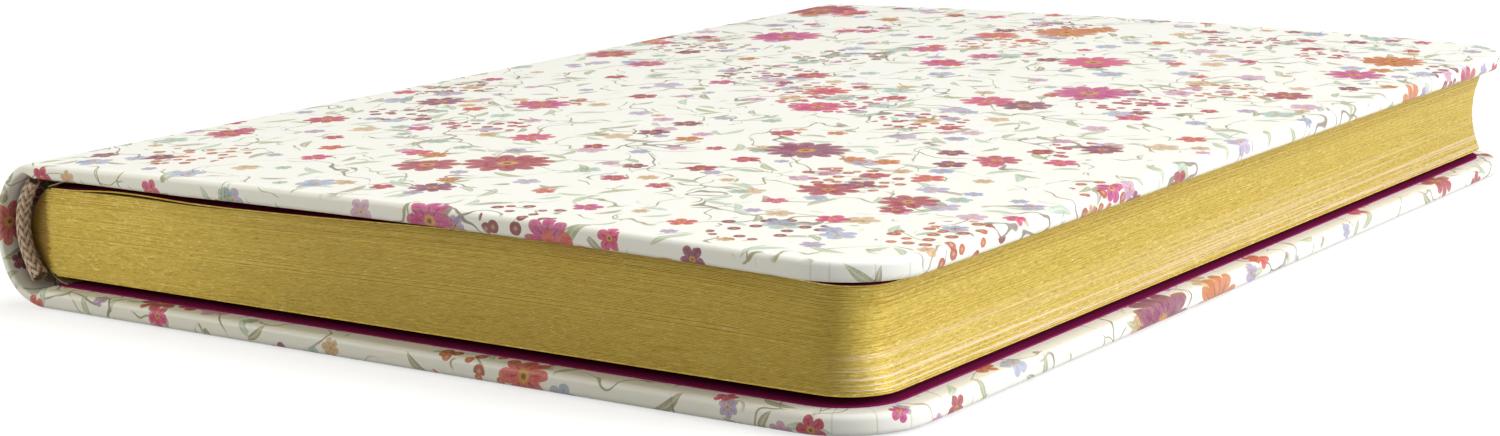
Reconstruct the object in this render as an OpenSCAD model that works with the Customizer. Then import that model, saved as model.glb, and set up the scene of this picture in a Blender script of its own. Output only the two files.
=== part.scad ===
// A small case-bound journal lying closed on its rear cover.
// X runs from the spine to the fore-edge, Y from the tail to the head, Z up.

/* [Case] */
// Height of the covers from tail to head
cover_l = 178; // [120:1:240]
// Width of a cover from its joint to the fore-edge
cover_w = 120; // [80:1:170]
// Thickness of the closed journal over both covers
case_t = 17.8; // [15:0.1:30]
// Corner radius of the covers in plan
cover_corner_r = 10; // [2:0.5:20]
// How far the front cover is bowed upwards at its middle
front_bow = 0.85; // [0:0.05:1.2]
// Width of the paper turned in over the boards
turn_in = 15; // [8:0.5:25]

/* [Spine] */
// How far the round spine stands out behind the joints
spine_out = 7; // [6:0.1:9]
// Height of the fullest part of the spine above the table
spine_full_z = 9.6; // [8:0.1:11]
// Height of the spine's lower edge above the table
spine_lift = 0.4; // [0:0.1:0.8]

/* [Materials] */
// Thickness of the greyboards
board_t = 1.8; // [1.5:0.1:2.3]
// How much thinner the front board's inner face is cut beside its joint
board_bevel = 0.4; // [0:0.05:0.5]
// Distance over which that cut dies out
bevel_l = 27; // [15:1:40]
// Thickness of the covering paper
paper_t = 0.25; // [0.15:0.01:0.35]
// Thickness of the card strip inside the spine
strip_t = 0.5; // [0.4:0.1:1]
// Thickness of an endpaper
endpaper_t = 0.2; // [0.1:0.01:0.3]
// Thickness of the cloth glued to the back of the block
mull_t = 0.3; // [0.2:0.05:0.4]
// Thickness of the paper lining over the cloth
lining_t = 0.3; // [0.2:0.05:0.4]

/* [Block] */
// Distance from the cover's edge to the pages at head and tail
square = 3; // [1.5:0.1:5]
// Distance from the cover's edge to the corners of the fore-edge
fore_square = 2.8; // [2:0.1:5]
// Corner radius of the pages in plan
block_corner_r = 6; // [2:0.5:15]
// Depth of the hollow in the fore-edge
fore_hollow = 1.2; // [0.5:0.1:2.5]
// How far the round back of the block stands out behind its shoulders
back_round = 3.2; // [2:0.1:3.4]
// Distance from the joints back to the shoulders of the block
shoulder_x = 0.8; // [0:0.1:1]
// Air between the rear cover and the block
rear_gap = 1; // [0.3:0.1:1.2]
// Air between the block and the front cover
front_gap = 0.1; // [0.1:0.05:0.4]
// How far the top of the block sinks beside the spine
spine_dip = 0.8; // [0:0.1:1]
// Distance over which that sinking dies out
dip_l = 100; // [20:1:110]
// How far the back linings stop short of the ends of the block
lining_short = 6; // [3:0.5:12]
// Gatherings in the block
gathering_count = 16; // [8:1:24]

/* [Bands] */
// Diameter of the head and tail bands
band_d = 1.8; // [1.5:0.1:2]
// Distance that the middle line of a band stands out behind the block's back
band_stand = 0.3; // [0.2:0.05:0.35]
// Radius of the curve that a band follows round the back
band_path_r = 8.4; // [7.5:0.1:9]

/* [Joints] */
// Distance from a cover's joint back to its hinge line
hinge_x = 2.9; // [2.7:0.1:3.1]
// Depth of a hinge line under the outer face of the cover
hinge_depth = 1.5; // [1.3:0.1:1.6]
// Radius of a cover's rounded edge about its hinge line
knuckle_r = 3.2; // [3.1:0.05:3.4]
// Running gap between that edge and the spine
knuckle_gap = 0.15; // [0.1:0.05:0.25]

/* [Hidden] */
$fn = 96;
// Strips across a bowed sheet, and steps along each half of the spine's outline
bow_steps = 24;
spine_steps = 14;
// A length longer than anything that it cuts
over = 400;
// Room for a cut to pass the face that it opens
eps = 0.01;
// Air left round a part glued to the block's end
seat_gap = 0.05;

// Places along X
fore_x = (cover_w + spine_out) / 2;
joint_x = fore_x - cover_w;
spine_x = joint_x - spine_out;
axis_x = joint_x - hinge_x;

// Depths through a cover, from its outer face inwards
board_in = paper_t;
board_out = board_in + board_t;
turn_out = board_out + paper_t;
cover_t = turn_out + endpaper_t;

// Heights of the block
block_bottom = cover_t + rear_gap + endpaper_t;
block_top = case_t - cover_t - front_gap - endpaper_t;
block_t = block_top - block_bottom;
block_l = cover_l - 2 * square;
block_fore_x = fore_x - fore_square;

// The round back: a circle through both shoulders
back_sag_x = joint_x - shoulder_x - back_round;
back_r = (pow(block_t / 2, 2) + pow(back_round, 2)) / (2 * back_round);
back_c = [back_sag_x + back_r, (block_bottom + block_top) / 2];

// The hollow fore-edge: a circle through both corners
fore_r = (pow(block_t / 2, 2) + pow(fore_hollow, 2)) / (2 * fore_hollow);
fore_c = [block_fore_x - fore_hollow + fore_r, back_c[1]];

// Layers of the spine wall, from its outer face inwards
wall_t = 2 * paper_t + strip_t;

// Height that the bow adds to the front cover at a place along X
function bow(x) =
    let (u = min(1, max(0, (x - joint_x) / cover_w)))
    front_bow * 4 * u * (1 - u);

// How far the top of the block sinks at a place along X
function dip(x) =
    let (u = min(1, max(0, (x - joint_x) / dip_l)))
    spine_dip * (1 - u * u * (3 - 2 * u));

function block_top_at(x) = block_top + bow(x) - dip(x);

// How far the inner layers of the front cover move up where its board is thinner
function bevel(x) =
    let (u = min(1, max(0, (x - joint_x) / bevel_l)))
    board_bevel * (1 - u * u * (3 - 2 * u));

// Height of one layer face of the front cover, at a depth under its outer face
function front_face(x, depth) =
    case_t + bow(x) - depth + (depth > board_out - 2 * eps ? bevel(x) : 0);

// Stations along X, closer together beside the spine. Sheets that lie on each other share them
function stations(x0, x1) = [
    for (i = [0 : bow_steps]) x0 + (x1 - x0) * pow(i / bow_steps, 1.3)
];

function bezier(p, t) =
    pow(1 - t, 3) * p[0] + 3 * t * pow(1 - t, 2) * p[1]
    + 3 * t * t * (1 - t) * p[2] + pow(t, 3) * p[3];

function bezier_slope(p, t) =
    3 * pow(1 - t, 2) * (p[1] - p[0]) + 6 * t * (1 - t) * (p[2] - p[1])
    + 3 * t * t * (p[3] - p[2]);

// The spine's outer face from the front joint over the fullest point to the rear joint
full_point = [spine_x, spine_full_z];
spine_upper = [
    [joint_x, case_t],
    [joint_x - 0.52 * spine_out, case_t],
    [spine_x, spine_full_z + 0.47 * (case_t - spine_full_z)],
    full_point
];
spine_lower = [
    full_point,
    [spine_x, spine_lift + 0.56 * (spine_full_z - spine_lift)],
    [joint_x - 0.77 * spine_out, spine_lift],
    [joint_x, spine_lift]
];

// A point of the spine's outline moved inwards by a depth
function inwards(p, t, depth) =
    let (s = bezier_slope(p, t))
    bezier(p, t) + depth * [-s[1], s[0]] / norm(s);

function spine_face(depth) = concat(
    [for (i = [0 : spine_steps]) inwards(spine_upper, i / spine_steps, depth)],
    [for (i = [1 : spine_steps]) inwards(spine_lower, i / spine_steps, depth)]
);

function reversed(v) = [for (i = [len(v) - 1 : -1 : 0]) v[i]];

// A side view drawn in X and Z, drawn out along Y about the middle
module along_y(length) {
    rotate([90, 0, 0])
        linear_extrude(length, center = true)
            children();
}

// A cover or a page seen from above, with its two outer corners rounded
module plan(x0, x1, length, r) {
    translate([x0, -length / 2])
        square([x1 - x0 - r, length]);
    translate([x1 - r - eps, -length / 2 + r])
        square([r + eps, length - 2 * r]);
    for (side = [-1, 1])
        translate([x1 - r, side * (length / 2 - r)])
            circle(r);
}

// A sheet between two faces given as functions of X
module sheet_profile(lower, upper) {
    polygon(concat(lower, reversed(upper)));
}

// One layer of the front cover, lying between two depths and set in from the edges
module front_layer(depth0, depth1, inset, knuckle) {
    xs = stations(axis_x, fore_x);
    intersection() {
        along_y(cover_l - 2 * inset)
            difference() {
                sheet_profile(
                    [for (x = xs) [x, front_face(x, depth1)]],
                    [for (x = xs) [x, front_face(x, depth0)]]
                );
                translate([axis_x, case_t - hinge_depth])
                    circle(knuckle);
            }
        linear_extrude(over, center = true)
            plan(axis_x - 1, fore_x - inset, cover_l - 2 * inset, max(0.5, cover_corner_r - inset));
    }
}

// The same layer of the rear cover, which is flat
module rear_layer(depth0, depth1, inset, knuckle) {
    intersection() {
        along_y(cover_l - 2 * inset)
            difference() {
                translate([axis_x, depth0])
                    square([fore_x - inset - axis_x, depth1 - depth0]);
                translate([axis_x, hinge_depth])
                    circle(knuckle);
            }
        linear_extrude(over, center = true)
            plan(axis_x - 1, fore_x - inset, cover_l - 2 * inset, max(0.5, cover_corner_r - inset));
    }
}

// The window that the turned-in paper leaves open on the inner face
window_inset = turn_in;
pastedown_inset = square - endpaper_t;

module front_board() {
    color("tan")
        front_layer(board_in, board_out, paper_t, knuckle_r + paper_t);
}

module rear_board() {
    color("tan")
        rear_layer(board_in, board_out, paper_t, knuckle_r + paper_t);
}

module front_cover_paper() {
    color("ivory")
        difference() {
            front_layer(0, turn_out, 0, knuckle_r);
            front_layer(board_in, board_out, paper_t, knuckle_r + paper_t);
            front_layer(board_out - eps, turn_out + eps, window_inset, knuckle_r + turn_in);
        }
}

module rear_cover_paper() {
    color("ivory")
        difference() {
            rear_layer(0, turn_out, 0, knuckle_r);
            rear_layer(board_in, board_out, paper_t, knuckle_r + paper_t);
            rear_layer(board_out - eps, turn_out + eps, window_inset, knuckle_r + turn_in);
        }
}

// A pastedown lies over the turned-in paper and dips to the board inside its window
module front_pastedown() {
    color("mediumvioletred")
        difference() {
            union() {
                front_layer(turn_out, cover_t, pastedown_inset, knuckle_r + paper_t);
                front_layer(board_out, cover_t, window_inset, knuckle_r + turn_in);
            }
            front_layer(board_out + endpaper_t, cover_t + eps,
                window_inset + endpaper_t, knuckle_r + turn_in + endpaper_t);
        }
}

module rear_pastedown() {
    color("mediumvioletred")
        difference() {
            union() {
                rear_layer(turn_out, cover_t, pastedown_inset, knuckle_r + paper_t);
                rear_layer(board_out, cover_t, window_inset, knuckle_r + turn_in);
            }
            rear_layer(board_out + endpaper_t, cover_t + eps,
                window_inset + endpaper_t, knuckle_r + turn_in + endpaper_t);
        }
}

// The spine wall between two depths, cut to run clear of both covers' rounded edges
module spine_wall(depth0, depth1, length, knuckle) {
    along_y(length)
        difference() {
            polygon(concat(spine_face(depth0), reversed(spine_face(depth1))));
            beyond_knuckle(case_t - hinge_depth, knuckle);
            beyond_knuckle(hinge_depth, knuckle);
        }
}

// All that lies to the right of a circle about one hinge line
module beyond_knuckle(z, r) {
    difference() {
        translate([axis_x, z - 2 * r])
            square([4 * r, 4 * r]);
        translate([axis_x, z])
            circle(r);
    }
}

module spine_strip() {
    color("tan")
        spine_wall(paper_t, paper_t + strip_t, cover_l - 2 * paper_t,
            knuckle_r - knuckle_gap - paper_t);
}

module spine_paper() {
    color("ivory")
        difference() {
            spine_wall(0, wall_t, cover_l, knuckle_r - knuckle_gap);
            spine_wall(paper_t, paper_t + strip_t, cover_l - 2 * paper_t,
                knuckle_r - knuckle_gap - paper_t);
            spine_wall(paper_t + strip_t - eps, wall_t + 1, cover_l - 2 * turn_in, 2 * knuckle_r);
        }
}

// Height at which the round back starts above the block's lower face
shoulder_step = 0.06;

// The block's outline from the side, with a round back and a hollow fore-edge
module block_profile() {
    xs = stations(joint_x - shoulder_x, block_fore_x);
    difference() {
        union() {
            sheet_profile(
                [for (x = xs) [x, block_bottom]],
                [for (x = xs) [x, block_top_at(x)]]
            );
            intersection() {
                translate(back_c)
                    circle(back_r);
                translate([back_sag_x - eps, block_bottom + shoulder_step])
                    square([back_round + 2 * eps, block_top - spine_dip - block_bottom - shoulder_step]);
            }
        }
        translate(fore_c)
            circle(fore_r);
    }
}

// Where the hollow fore-edge stands at a height
function fore_face_x(z) =
    let (h = min(block_t / 2, abs(z - fore_c[1])))
    fore_c[0] - sqrt(pow(fore_r, 2) - pow(h, 2));

// Gatherings whose rounded corners step back with the hollow of the fore-edge
module gatherings() {
    pitch = block_t / gathering_count;
    for (i = [0 : gathering_count - 1]) {
        z0 = block_bottom + i * pitch;
        top = i == gathering_count - 1 ? front_bow : eps;
        translate([0, 0, z0])
            linear_extrude(pitch + top)
                plan(spine_x, max(fore_face_x(z0), fore_face_x(z0 + pitch)), block_l, block_corner_r);
    }
}

module text_block() {
    color("goldenrod")
        intersection() {
            along_y(block_l)
                block_profile();
            gatherings();
        }
}

// A flyleaf lies on the block from the joint to the fore-edge
module flyleaf(lower, upper) {
    intersection() {
        along_y(block_l)
            sheet_profile(lower, upper);
        linear_extrude(over, center = true)
            plan(joint_x, block_fore_x, block_l, block_corner_r);
    }
}

module front_flyleaf() {
    xs = stations(joint_x - shoulder_x, block_fore_x);
    color("mediumvioletred")
        flyleaf(
            [for (x = xs) [x, block_top_at(x)]],
            [for (x = xs) [x, block_top_at(x) + endpaper_t]]
        );
}

module rear_flyleaf() {
    color("mediumvioletred")
        flyleaf(
            [for (x = [joint_x, block_fore_x]) [x, block_bottom - endpaper_t]],
            [for (x = [joint_x, block_fore_x]) [x, block_bottom]]
        );
}

// A layer glued round the back of the block, between its two shoulders
module back_layer(depth0, depth1, length) {
    along_y(length)
        intersection() {
            difference() {
                translate(back_c)
                    circle(back_r + depth1);
                translate(back_c)
                    circle(back_r + depth0);
            }
            translate([spine_x, block_bottom])
                square([back_sag_x + back_round - spine_x, block_top - spine_dip - block_bottom]);
        }
}

module mull() {
    color("whitesmoke")
        back_layer(0, mull_t, block_l - lining_short);
}

module back_lining() {
    color("burlywood")
        back_layer(mull_t, mull_t + lining_t, block_l - 2 * lining_short);
}

// A round band lying against one end of the block along its back
band_r = band_d / 2;
band_half_angle = asin(block_t / 2 / band_path_r);
band_c_x = back_sag_x - band_stand + band_path_r;

module band(side) {
    color("rosybrown")
        translate([band_c_x, side * (block_l / 2 + band_r + seat_gap), back_c[1]])
            rotate([90, 0, 0])
                rotate([0, 0, 180 - band_half_angle])
                    rotate_extrude(angle = 2 * band_half_angle)
                        translate([band_path_r, 0])
                            circle(band_r, $fn = 48);
}

module head_band() {
    band(1);
}

module tail_band() {
    band(-1);
}

text_block();
mull();
back_lining();
head_band();
tail_band();
front_flyleaf();
rear_flyleaf();
spine_strip();
spine_paper();
front_board();
front_cover_paper();
front_pastedown();
rear_board();
rear_cover_paper();
rear_pastedown();
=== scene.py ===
"""A closed hardcover journal with a printed paper cover, gilded leaves and a round spine.

The file is laid out as an add-on: its values are properties, each group of pieces has an operator,
and a panel in the 3D view's sidebar lists them. Run as a script, it makes the whole scene.
"""

import math
import random

import bmesh
import bpy
from mathutils import Matrix, Vector


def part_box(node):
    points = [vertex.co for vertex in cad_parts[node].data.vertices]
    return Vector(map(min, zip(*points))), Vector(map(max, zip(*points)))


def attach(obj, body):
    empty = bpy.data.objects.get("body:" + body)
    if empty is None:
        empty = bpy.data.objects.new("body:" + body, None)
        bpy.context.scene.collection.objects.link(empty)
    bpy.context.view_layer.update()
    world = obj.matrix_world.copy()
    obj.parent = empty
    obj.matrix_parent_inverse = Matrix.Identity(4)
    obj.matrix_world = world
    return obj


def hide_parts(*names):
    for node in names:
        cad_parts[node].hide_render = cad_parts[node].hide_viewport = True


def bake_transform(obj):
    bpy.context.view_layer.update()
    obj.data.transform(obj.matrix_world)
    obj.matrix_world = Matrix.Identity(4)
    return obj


bl_info = {
    "name": "Closed Hardcover Journal",
    "version": (1, 0, 0),
    "blender": (4, 5, 0),
    "location": "View3D > Sidebar > Journal",
    "description": "Models a closed journal with its covering paper, gilded leaves, bands and endpapers",
    "category": "Object",
}

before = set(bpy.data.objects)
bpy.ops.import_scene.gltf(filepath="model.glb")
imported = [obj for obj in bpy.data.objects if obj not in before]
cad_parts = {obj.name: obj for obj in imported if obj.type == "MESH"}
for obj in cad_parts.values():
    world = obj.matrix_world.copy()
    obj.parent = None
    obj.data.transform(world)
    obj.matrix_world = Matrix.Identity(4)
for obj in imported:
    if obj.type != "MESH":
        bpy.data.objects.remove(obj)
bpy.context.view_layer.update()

MM = 0.001
COVER_LOW, COVER_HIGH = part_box("rear_cover_paper")
BLOCK_LOW, BLOCK_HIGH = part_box("text_block")
SPINE_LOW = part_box("spine_paper")[0]
SPINE_OUT = 7.0 * MM
BLOCK_THICK = 11.3 * MM
BLOCK_CORNER = 6.0 * MM
SPINE_DIP = 0.8 * MM
DIP_LENGTH = 100.0 * MM
BOARD_BEVEL = 0.4 * MM
BEVEL_LENGTH = 27.0 * MM
BACK_ROUND = 3.2 * MM
BACK_SHOULDER = 0.8 * MM
FORE_HOLLOW = 1.2 * MM
BAND_MIDDLE = Vector((-52.4 * MM, 9.35 * MM))
BAND_RADIUS = 8.4 * MM
BAND_HALF_ANGLE = math.radians(45.0)
BAND_Y = 86.95 * MM
BAND_CORE = 0.66 * MM
BAND_PITCH = 11.0 * MM
BAND_POINTS = 120
RINGS = 15


# Properties

def length(name, description, default):
    """A property that holds a length."""
    return bpy.props.FloatProperty(name=name, description=description, default=default, unit="LENGTH")


def count(name, description, default, low, high):
    """A property that holds a number of things."""
    return bpy.props.IntProperty(name=name, description=description, default=default, min=low, max=high)


def colour(name, description, default):
    """A property that holds a colour."""
    return bpy.props.FloatVectorProperty(
        name=name,
        description=description,
        default=default,
        subtype="COLOR",
    )


class JournalSizes(bpy.types.PropertyGroup):
    """Sizes of the journal and its pieces."""

    cover_length: length(
        "Cover length",
        "Height of the covers from tail to head",
        COVER_HIGH.y - COVER_LOW.y,
    )
    case_thickness: length(
        "Case thickness",
        "Thickness of the closed journal over both covers at the joint",
        17.8 * MM,
    )
    front_bow: length("Front bow", "How far the front cover is bowed upwards at its middle", 0.85 * MM)
    corner_radius: length("Corner radius", "Radius of the covers' two outer corners in plan", 10.0 * MM)
    edge_radius: length(
        "Edge radius",
        "Radius of the paper where it turns over the edge of a board",
        0.7 * MM,
    )
    paper_thickness: length("Paper thickness", "Thickness of the covering paper", 0.25 * MM)
    turn_in: length("Turn-in", "Width of the paper turned in over the inner face of a board", 15.0 * MM)
    leaf_count: count("Leaves", "Number of leaf edges modelled in the thickness of the block", 72, 24, 120)
    leaf_play: length("Leaf play", "How far the leaf edges stand in or out of the trimmed face", 0.02 * MM)
    band_strands: count("Band strands", "Strands that are braided into a head or tail band", 16, 8, 24)


class JournalColours(bpy.types.PropertyGroup):
    """Colours of the journal's finishes."""

    paper: colour("Cover paper", "Ground colour of the covering paper", (0.955, 0.955, 0.920))
    gilding: colour("Gilding", "Colour of the gilded edges of the leaves", (0.700, 0.525, 0.095))
    endpaper: colour("Endpaper", "Colour of the endpapers", (0.235, 0.012, 0.080))
    band: colour("Band", "Colour of the head and tail bands", (0.640, 0.490, 0.380))
    print_scale: bpy.props.FloatProperty(
        name="Print scale",
        description="Size of the printed motifs, with 1 as drawn",
        default=1.0,
        min=0.3,
        max=3.0,
    )


# Shape of the case

def smooth(t):
    """A step from 0 to 1 that starts and ends level."""
    t = max(0.0, min(1.0, t))
    return t * t * (3.0 - 2.0 * t)


def bezier(points, t):
    """A point of a cubic curve."""
    a, b, c, d = points
    s = 1.0 - t
    return tuple(
        s ** 3 * a[i] + 3 * t * s * s * b[i] + 3 * t * t * s * c[i] + t ** 3 * d[i]
        for i in (0, 1)
    )


class CaseForm:
    """Curves of the case: the covers seen from the side, the round spine, and how the sheet folds."""

    def __init__(self, sizes):
        self.length = sizes.cover_length
        self.top = sizes.case_thickness
        self.bow_height = sizes.front_bow
        self.corner = sizes.corner_radius
        self.edge = sizes.edge_radius
        self.turn_in = sizes.turn_in - sizes.edge_radius - 0.2 * MM
        self.fore = COVER_HIGH.x
        self.spine = SPINE_LOW.x
        self.joint = self.spine + SPINE_OUT
        self.lift = 0.4 * MM
        self.full = 9.6 * MM
        self.board_wall = 2.3 * MM
        self.spine_wall = 1.0 * MM
        self.outline = self.spine_points()
        self.arc = self.outline[-1][0]
        self.seam = 0.72 * self.arc

    def bow(self, x):
        """Height that the bow adds to the front cover."""
        u = max(0.0, min(1.0, (x - self.joint) / (self.fore - self.joint)))
        return self.bow_height * 4.0 * u * (1.0 - u)

    def spine_points(self):
        """The spine's outer face from the front joint to the rear joint, with the distance run."""
        out = self.joint - self.spine
        upper = [
            (self.joint, self.top),
            (self.joint - 0.52 * out, self.top),
            (self.spine, self.full + 0.47 * (self.top - self.full)),
            (self.spine, self.full),
        ]
        lower = [
            (self.spine, self.full),
            (self.spine, self.lift + 0.56 * (self.full - self.lift)),
            (self.joint - 0.77 * out, self.lift),
            (self.joint, self.lift),
        ]
        places = [bezier(upper, i / 60.0) for i in range(60)]
        for i in range(61):
            x, z = bezier(lower, i / 60.0)
            z -= self.lift * smooth((x - self.joint + 2.4 * MM) / (2.2 * MM))
            places.append((x, z))
        run = 0.0
        points = [(0.0, *places[0])]
        for before, after in zip(places, places[1:]):
            run += math.dist(before, after)
            points.append((run, *after))
        return points

    def on_spine(self, run):
        """Point and outward normal at a distance round the spine."""
        points = self.outline
        run = max(0.0, min(self.arc - 1e-9, run))
        i = next(k for k in range(len(points) - 1) if points[k + 1][0] > run)
        a, b = points[i], points[i + 1]
        t = (run - a[0]) / (b[0] - a[0])
        before = points[max(0, i - 1)]
        after = points[min(len(points) - 1, i + 2)]
        near = Vector((b[1] - before[1], b[2] - before[2])).normalized()
        far = Vector((after[1] - a[1], after[2] - a[2])).normalized()
        run_way = near.lerp(far, t).normalized()
        x = a[1] + t * (b[1] - a[1])
        z = a[2] + t * (b[2] - a[2])
        return x, z, run_way[1], -run_way[0]

    def profile(self, u, front):
        """Point and outward normal of the case at a place across the flat sheet."""
        if u < self.joint:
            run = self.joint - u
            return self.on_spine(run if front else self.arc - run)
        if not front:
            return u, 0.0, 0.0, -1.0
        step = 0.01 * MM
        slope = (self.bow(u + step) - self.bow(u - step)) / (2.0 * step)
        size = math.hypot(slope, 1.0)
        return u, self.top + self.bow(u), -slope / size, 1.0 / size

    def wall(self, u, front=True):
        """Thickness of the case across the sheet: the spine, and the boards, thinned at the front joint."""
        t = smooth((u - self.joint + 2.2 * MM) / (2.4 * MM))
        full = self.board_wall
        if front:
            full -= BOARD_BEVEL * (1.0 - smooth((u - self.joint) / BEVEL_LENGTH))
        return self.spine_wall + (full - self.spine_wall) * t

    def radius(self, u, front=True):
        """Radius of the turned edge at a place across the sheet."""
        return self.edge * min(1.0, 1.15 * self.wall(u, front) / self.board_wall)

    def outward(self, u, v):
        """Direction to the nearest edge of the sheet's plan, and the distance left to it."""
        e = self.fore - u
        f = 0.5 * self.length - abs(v)
        side = -1.0 if v < 0 else 1.0
        if e < self.corner and f < self.corner:
            a, b = self.corner - e, self.corner - f
            h = max(1e-9, math.hypot(a, b))
            return a / h, side * b / h, self.corner - h
        if e < f:
            return 1.0, 0.0, e
        return 0.0, side, f

    def reach(self, u, ring, front):
        """Distance run past the start of the turned edge, at one of the rings of the sheet."""
        r = self.radius(u, front)
        quarter = 0.5 * math.pi * r
        flat = self.wall(u, front) - 2.0 * r
        if ring <= 5:
            return quarter * ring / 5.0
        if ring <= 11:
            return quarter + flat + quarter * (ring - 6) / 5.0
        return 2.0 * quarter + flat + {12: 0.3, 13: 0.65, 14: 1.0}[ring] * self.turn_in

    def spread(self, u, v, ring, front):
        """Moves an edge point of the flat sheet out to where a ring lies."""
        nu, nv, left = self.outward(u, v)
        start = self.radius(u, front) - left
        run = self.reach(u, ring, front)
        if nu and nv and ring > 11:
            turned = self.reach(u, 11, front)
            run = turned + 0.62 * (run - turned)
        return u + nu * (run - start), v + nv * (run - start)

    def fold(self, u, v, front):
        """Where a point of the flat covering sheet comes to lie on the case."""
        nu, nv, left = self.outward(u, v)
        r = self.radius(u, front)
        past = r - left
        if past <= 0.0:
            x, z = self.profile(u, front)[:2]
            return Vector((x, v, z))
        wall = self.wall(u, front)
        quarter = 0.5 * math.pi * r
        flat = wall - 2.0 * r
        if past < quarter:
            out, deep = r * math.sin(past / r), r * (1.0 - math.cos(past / r))
        elif past < quarter + flat:
            out, deep = r, r + past - quarter
        elif past < 2.0 * quarter + flat:
            a = (past - quarter - flat) / r
            out, deep = r * math.cos(a), r + flat + r * math.sin(a)
        else:
            out, deep = 2.0 * quarter + flat - past, wall
        x, z, nx, nz = self.profile(u + nu * (out - past), front)
        return Vector((x - deep * nx, v + nv * (out - past), z - deep * nz))

    def printed(self, u, front):
        """Place across the whole printed sheet, which runs on from the front round to the rear."""
        return u if front else 2.0 * self.joint - self.arc - u


def spine_dip(form, x):
    """How far the top of the block sinks beside the spine."""
    return SPINE_DIP * (1.0 - smooth((x - form.joint) / DIP_LENGTH))


def end_sink(x, y):
    """How far the top of the block sinks at its head and tail, and more at the corners of the fore-edge."""
    along = smooth((abs(y) - (BLOCK_HIGH.y - 20.0 * MM)) / (18.0 * MM))
    corner = 0.45 * smooth((x - (BLOCK_HIGH.x - 20.0 * MM)) / (18.0 * MM))
    hollow = 0.42 * smooth((x + 46.0 * MM) / (16.0 * MM)) * smooth((16.0 * MM - x) / (34.0 * MM))
    return (corner + hollow) * MM * along


# Modelling calls

def deselect():
    """Leaves nothing selected, because the loaded frame and a new primitive are."""
    if bpy.context.object and bpy.context.object.mode != "OBJECT":
        bpy.ops.object.mode_set(mode="OBJECT")
    bpy.ops.object.select_all(action="DESELECT")


def named(name):
    """Names the active object and its mesh."""
    piece = bpy.context.object
    piece.name = name
    piece.data.name = name
    return piece


def pick(test, kind="VERT"):
    """Selects the vertices, edges or faces that pass a test, in edit mode."""
    bpy.ops.mesh.select_mode(type=kind)
    bpy.ops.mesh.select_all(action="DESELECT")
    mesh = bmesh.from_edit_mesh(bpy.context.object.data)
    group = {"VERT": mesh.verts, "EDGE": mesh.edges, "FACE": mesh.faces}[kind]
    group.ensure_lookup_table()
    for item in group:
        if test(item):
            item.select_set(True)
    mesh.select_flush_mode()
    bmesh.update_edit_mesh(bpy.context.object.data)


def cut(places, axis=0):
    """Cuts the whole mesh across one axis at each place, in edit mode."""
    for place in places:
        bpy.ops.mesh.select_all(action="SELECT")
        where = [0.0, 0.0, 0.0]
        facing = [0.0, 0.0, 0.0]
        where[axis] = place
        facing[axis] = 1.0
        bpy.ops.mesh.bisect(plane_co=where, plane_no=facing)


def flat_plate(x0, x1, y0, y1, z):
    """A plane between two corners, with edit mode left on."""
    deselect()
    bpy.ops.mesh.primitive_plane_add(size=1.0, location=(0.0, 0.0, 0.0))
    bpy.ops.object.mode_set(mode="EDIT")
    bpy.ops.mesh.select_all(action="SELECT")
    bpy.ops.transform.resize(value=(x1 - x0, y1 - y0, 1.0))
    middle = (0.5 * (x0 + x1), 0.5 * (y0 + y1), z)
    bpy.ops.transform.translate(value=middle)


def block(x0, x1, y0, y1, z0, z1):
    """A cube stretched between two corners, with edit mode left on."""
    deselect()
    bpy.ops.mesh.primitive_cube_add(size=1.0, location=(0.0, 0.0, 0.0))
    bpy.ops.object.mode_set(mode="EDIT")
    bpy.ops.mesh.select_all(action="SELECT")
    bpy.ops.transform.resize(value=(x1 - x0, y1 - y0, z1 - z0))
    middle = (0.5 * (x0 + x1), 0.5 * (y0 + y1), 0.5 * (z0 + z1))
    bpy.ops.transform.translate(value=middle)


def reshape(piece, move):
    """Moves each vertex of a finished mesh to where a function puts it."""
    for vertex in piece.data.vertices:
        vertex.co = move(vertex.co)
    piece.data.update()


def modify(piece, kind, **values):
    """Adds a modifier to a piece, sets its values and applies it."""
    bpy.context.view_layer.objects.active = piece
    bpy.ops.object.modifier_add(type=kind)
    modifier = piece.modifiers[-1]
    for key, value in values.items():
        setattr(modifier, key, value)
    bpy.ops.object.modifier_apply(modifier=modifier.name)


def shade(piece, degrees=40.0):
    """Shades a piece smoothly, apart from its sharp edges."""
    deselect()
    piece.select_set(True)
    bpy.context.view_layer.objects.active = piece
    bpy.ops.object.shade_smooth_by_angle(angle=math.radians(degrees))


def dress(piece, body, material):
    """Gives a finished piece its material and the body that it moves with."""
    piece.data.materials.clear()
    piece.data.materials.append(material)
    if body:
        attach(piece, body)


# Material calls

def tint(red, green, blue):
    """A colour written as it shows on screen, from 0 to 255."""
    linear = []
    for value in (red, green, blue):
        c = value / 255.0
        linear.append(c / 12.92 if c <= 0.04045 else ((c + 0.055) / 1.055) ** 2.4)
    return (*linear, 1.0)


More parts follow.
